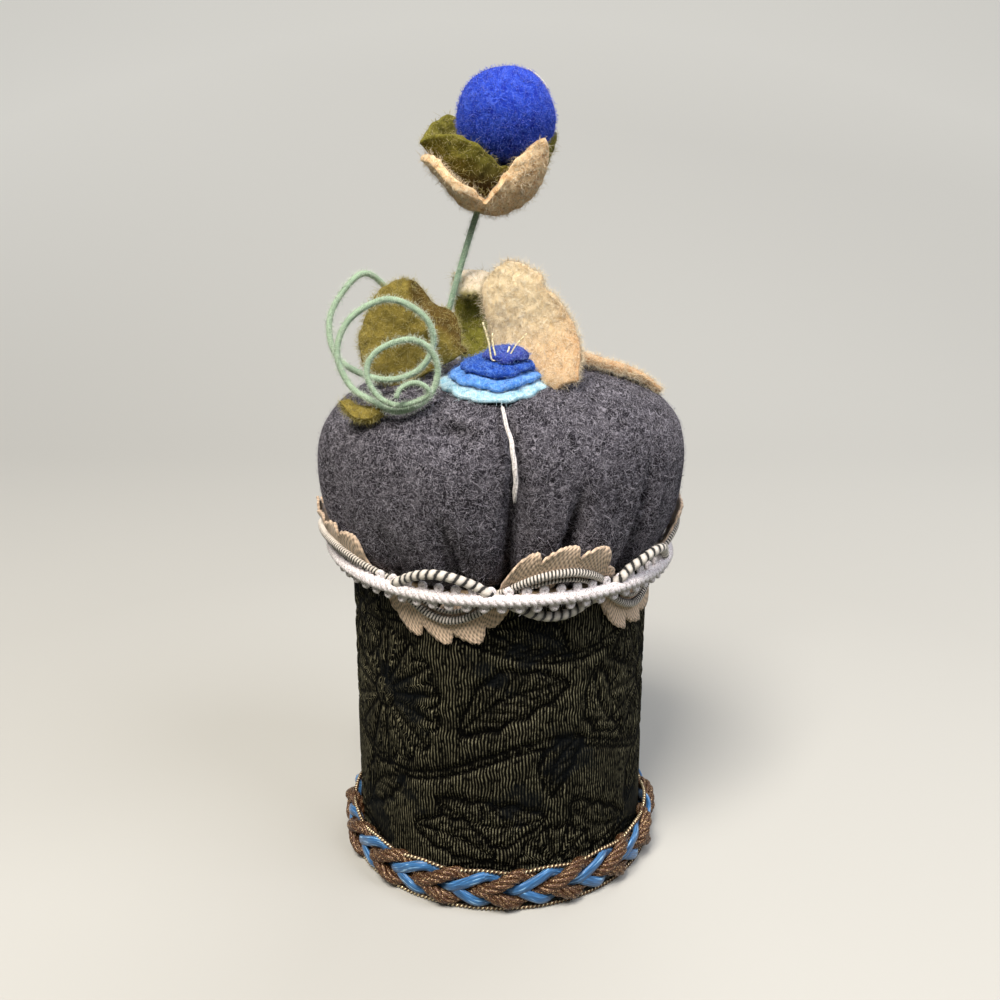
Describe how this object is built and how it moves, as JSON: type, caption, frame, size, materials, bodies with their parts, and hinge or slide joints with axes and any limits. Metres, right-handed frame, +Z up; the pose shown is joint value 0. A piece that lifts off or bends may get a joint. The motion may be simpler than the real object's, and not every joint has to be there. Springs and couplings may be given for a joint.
{
  "type": "pincushion",
  "caption": "Drum-shaped pincushion with a puffed felt top, brocade sides, braid trims at neck and foot, and a felt flower with leaves and a wire tendril.",
  "frame": {"origin": "centre of the flat underside, on the tube's axis", "axes": "+Z up the tube toward the flower; -Y toward the side with the tufting groove and the rosette"},
  "size_m": [0.0798, 0.078, 0.1655],
  "materials": {
    "wool_felt_black": "needled felt",
    "grey_board": "plain board",
    "dry_ballast": "loose dry fill, packed",
    "jacquard_brocade": "ribbed jacquard weave",
    "blue_satin_cord": "satin",
    "copper_metallic_yarn": "metallic yarn",
    "gold_metallic_cord": "metallic cord",
    "wool_felt_charcoal": "heathered wool felt",
    "wool_stuffing": "loose wool",
    "cream_thread": "thread",
    "tan_woven_ribbon": "woven ribbon",
    "striped_fine_cord": "close black wrapping on cream",
    "striped_coarse_cord": "open black wrapping on cream",
    "white_picot_braid": "braided cotton",
    "wool_felt_pale_blue": "wool felt",
    "wool_felt_cornflower": "wool felt",
    "wool_felt_royal": "wool felt",
    "wool_felt_indigo": "wool felt",
    "gold_thread": "metallic thread",
    "wool_felt_olive": "wool felt",
    "wool_felt_tan": "wool felt",
    "steel_wire": "drawn wire",
    "green_wrapping_thread": "close wound thread",
    "wool_felt_blue": "felted wool"
  },
  "bodies": {
    "root": {"base_felt": "wool_felt_black", "base_card": "grey_board", "core_tube": "grey_board", "ballast": "dry_ballast", "brocade_sleeve": "jacquard_brocade", "foot_strand_blue_1": "blue_satin_cord", "foot_strand_blue_2": "blue_satin_cord", "foot_strand_copper_1": "copper_metallic_yarn", "foot_strand_copper_2": "copper_metallic_yarn", "foot_edge_lower": "gold_metallic_cord", "foot_edge_upper": "gold_metallic_cord", "cushion_cover": "wool_felt_charcoal", "cushion_filling": "wool_stuffing", "tufting_thread": "cream_thread", "gimp_ribbon": "tan_woven_ribbon", "gimp_cord_fine_upper": "striped_fine_cord", "gimp_cord_fine_lower": "striped_fine_cord", "gimp_cord_coarse": "striped_coarse_cord", "picot_braid": "white_picot_braid", "rosette_disc_pale": "wool_felt_pale_blue", "rosette_disc_cornflower": "wool_felt_cornflower", "rosette_disc_royal": "wool_felt_royal", "rosette_disc_indigo": "wool_felt_indigo", "gold_tails_left": "gold_thread", "gold_tails_right": "gold_thread", "bud_thread": "gold_thread", "leaf_left": "wool_felt_olive", "leaf_low": "wool_felt_olive", "leaf_back": "wool_felt_olive", "leaf_right": "wool_felt_tan", "leaf_strip": "wool_felt_tan", "stem_wire": "steel_wire", "stem_wrap": "green_wrapping_thread", "tendril": "green_wrapping_thread", "calyx_outer": "wool_felt_tan", "calyx_lining": "wool_felt_olive", "bud_ball": "wool_felt_blue"}
  },
  "joints": []
}
